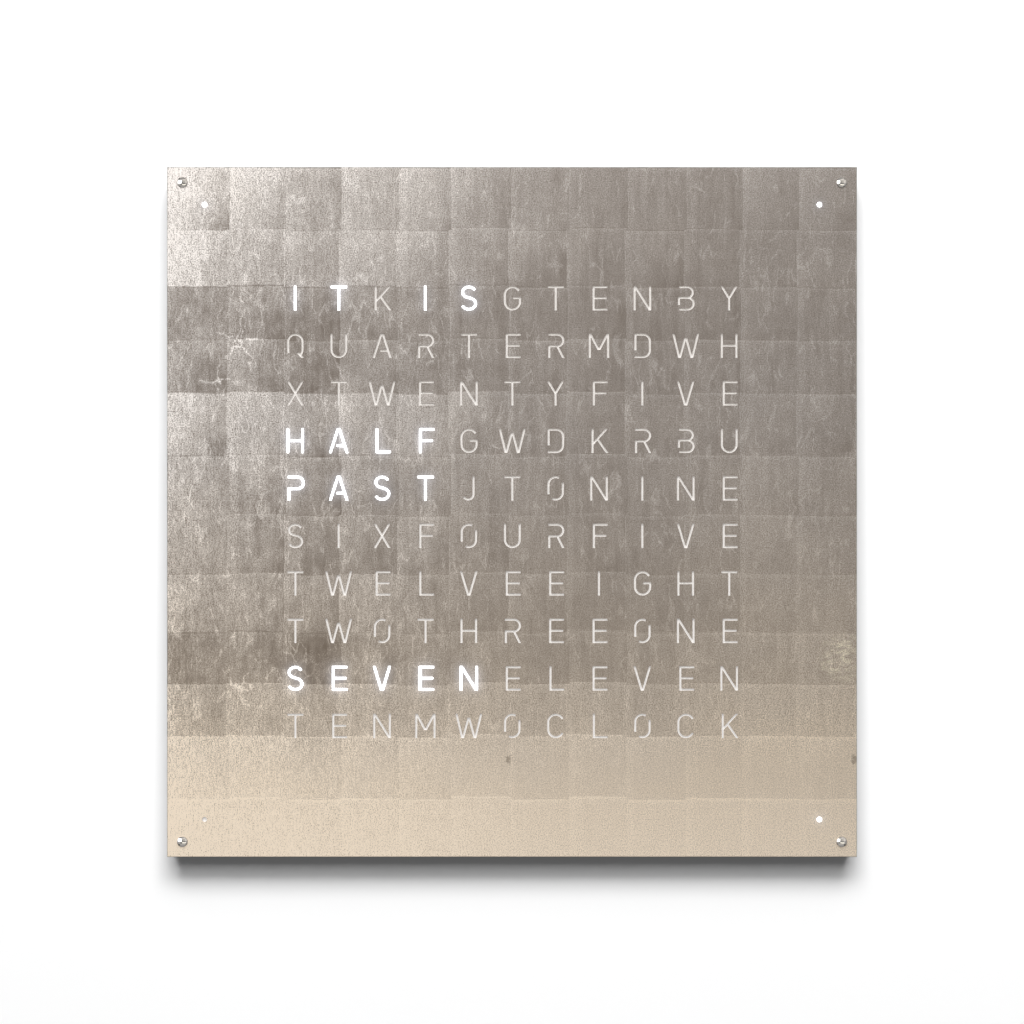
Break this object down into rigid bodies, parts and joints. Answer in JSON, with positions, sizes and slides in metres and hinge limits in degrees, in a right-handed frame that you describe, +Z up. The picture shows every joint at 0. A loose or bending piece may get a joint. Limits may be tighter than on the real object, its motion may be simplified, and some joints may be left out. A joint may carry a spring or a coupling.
{
  "type": "word clock",
  "caption": "Square wall clock that tells the time in lit words cut through a metal-leaf front panel, with a lift-off housing on a wall rail and a magnet-held cover.",
  "frame": {"origin": "midway between the wall rail's two screw holes, on the wall plane", "axes": "+X to the viewer's right, +Z up, +Y into the wall; the front faces -Y"},
  "size_m": [0.9, 0.0358, 0.9],
  "materials": {
    "rail_metal": "mill finish",
    "screw_steel": "zinc plated",
    "rubber": "matt",
    "plate_black": "fine-texture powder coat",
    "frame_metal": "satin anodised",
    "seal_foam": "closed-cell foam",
    "magnet_nickel": "nickel plated",
    "grid_white": "matt white",
    "led_body": "white package",
    "board_white": "white solder mask",
    "board_green": "green solder mask",
    "chip_black": "moulded epoxy",
    "radio_metal": "tinned can",
    "cell_steel": "bright steel",
    "capacitor_can": "bright can",
    "connector_white": "nylon",
    "block_plastic": "moulded, matt",
    "button_plastic": "moulded, satin",
    "panel_leaf": "silver-coloured metal leaf under lacquer",
    "diffuser": "opal sheet",
    "stud_chrome": "polished",
    "keeper_steel": "zinc plated"
  },
  "bodies": {
    "wall_mount": {"wall_rail": "rail_metal"},
    "housing": {"back_plate": "plate_black", "board_bars": "block_plastic", "board_connectors": "connector_white", "button_board": "board_green", "button_switches": "chip_black", "capacitor": "capacitor_can", "clock_crystal": "cell_steel", "coin_cell": "cell_steel", "coin_cell_holder": "chip_black", "controller_board": "board_green", "corner_block_bottom_left": "block_plastic", "corner_block_bottom_right": "block_plastic", "corner_block_top_left": "block_plastic", "corner_block_top_right": "block_plastic", "corner_led_boards": "board_white", "corner_leds": "led_body", "corner_magnets": "magnet_nickel", "frame_bottom": "frame_metal", "frame_left": "frame_metal", "frame_right": "frame_metal", "frame_top": "frame_metal", "hanger_bolts": "screw_steel", "hanger_rail": "rail_metal", "led_strip_1": "board_white", "led_strip_10": "board_white", "led_strip_2": "board_white", "led_strip_3": "board_white", "led_strip_4": "board_white", "led_strip_5": "board_white", "led_strip_6": "board_white", "led_strip_7": "board_white", "led_strip_8": "board_white", "led_strip_9": "board_white", "letter_leds": "led_body", "level_slats": "grid_white", "light_seal": "seal_foam", "microcontroller": "chip_black", "power_inlet": "chip_black", "power_inlet_cup": "block_plastic", "radio_module": "radio_metal", "strip_links": "board_white", "upright_slats": "grid_white", "wall_bumpers": "rubber"},
    "front_cover": {"front_panel": "panel_leaf", "diffuser_sheet": "diffuser", "corner_studs": "stud_chrome", "stud_keepers": "keeper_steel"},
    "hour_button": {"hour_button": "button_plastic"},
    "minute_button": {"minute_button": "button_plastic"},
    "mode_button": {"mode_button": "button_plastic"}
  },
  "joints": [
    {"name": "housing_lift", "type": "slide", "parent": "wall_mount", "child": "housing", "axis": [0, 0, 1], "range_m": [0, 0.012]},
    {"name": "cover_pull", "type": "slide", "parent": "housing", "child": "front_cover", "axis": [0, -1, 0], "range_m": [0, 0.04]},
    {"name": "hour_press", "type": "slide", "parent": "housing", "child": "hour_button", "axis": [0, 0, 1], "range_m": [0, 0.0008], "stiffness_N_per_m": 400},
    {"name": "minute_press", "type": "slide", "parent": "housing", "child": "minute_button", "axis": [0, 0, 1], "range_m": [0, 0.0008], "stiffness_N_per_m": 400},
    {"name": "mode_press", "type": "slide", "parent": "housing", "child": "mode_button", "axis": [0, 0, 1], "range_m": [0, 0.0008], "stiffness_N_per_m": 400}
  ]
}
